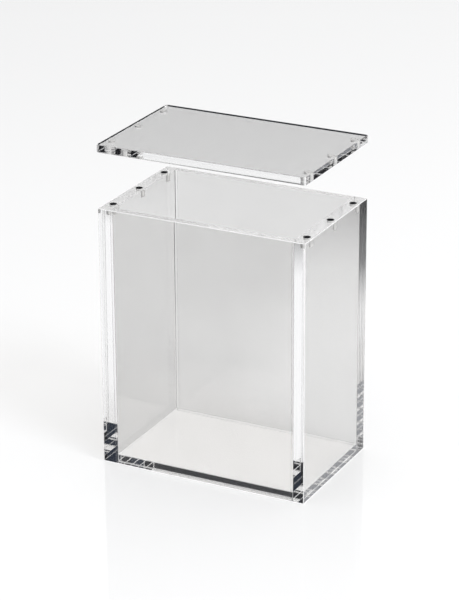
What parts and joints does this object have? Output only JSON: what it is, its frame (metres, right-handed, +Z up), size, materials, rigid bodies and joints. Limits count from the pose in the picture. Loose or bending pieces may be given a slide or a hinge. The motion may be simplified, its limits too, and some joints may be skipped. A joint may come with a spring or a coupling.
{
  "type": "display case",
  "caption": "Clear acrylic display case: an open-topped box of glued panels with a flat lift-off lid held on by magnets sunk in the side walls and the lid.",
  "frame": {"origin": "centre of the case's underside, on the surface it stands on", "axes": "+X to the right as seen from the front, +Y to the back, +Z up, the way the lid lifts"},
  "size_m": [0.16, 0.102, 0.241],
  "materials": {
    "clear_acrylic": "clear cast sheet with polished edges",
    "plated_magnet": "bright nickel plating"
  },
  "bodies": {
    "case": {"side_wall_left": "clear_acrylic", "side_wall_right": "clear_acrylic", "front_panel": "clear_acrylic", "back_panel": "clear_acrylic", "base_panel": "clear_acrylic", "wall_magnet_left_front": "plated_magnet", "wall_magnet_left_middle": "plated_magnet", "wall_magnet_left_back": "plated_magnet", "wall_magnet_right_front": "plated_magnet", "wall_magnet_right_middle": "plated_magnet", "wall_magnet_right_back": "plated_magnet"},
    "lid": {"lid_panel": "clear_acrylic", "lid_magnet_left_front": "plated_magnet", "lid_magnet_left_middle": "plated_magnet", "lid_magnet_left_back": "plated_magnet", "lid_magnet_right_front": "plated_magnet", "lid_magnet_right_middle": "plated_magnet", "lid_magnet_right_back": "plated_magnet"}
  },
  "joints": [
    {"name": "lid_lift", "type": "slide", "parent": "case", "child": "lid", "axis": [0, 0, 1], "range_m": [-0.0412, 0.06]}
  ]
}
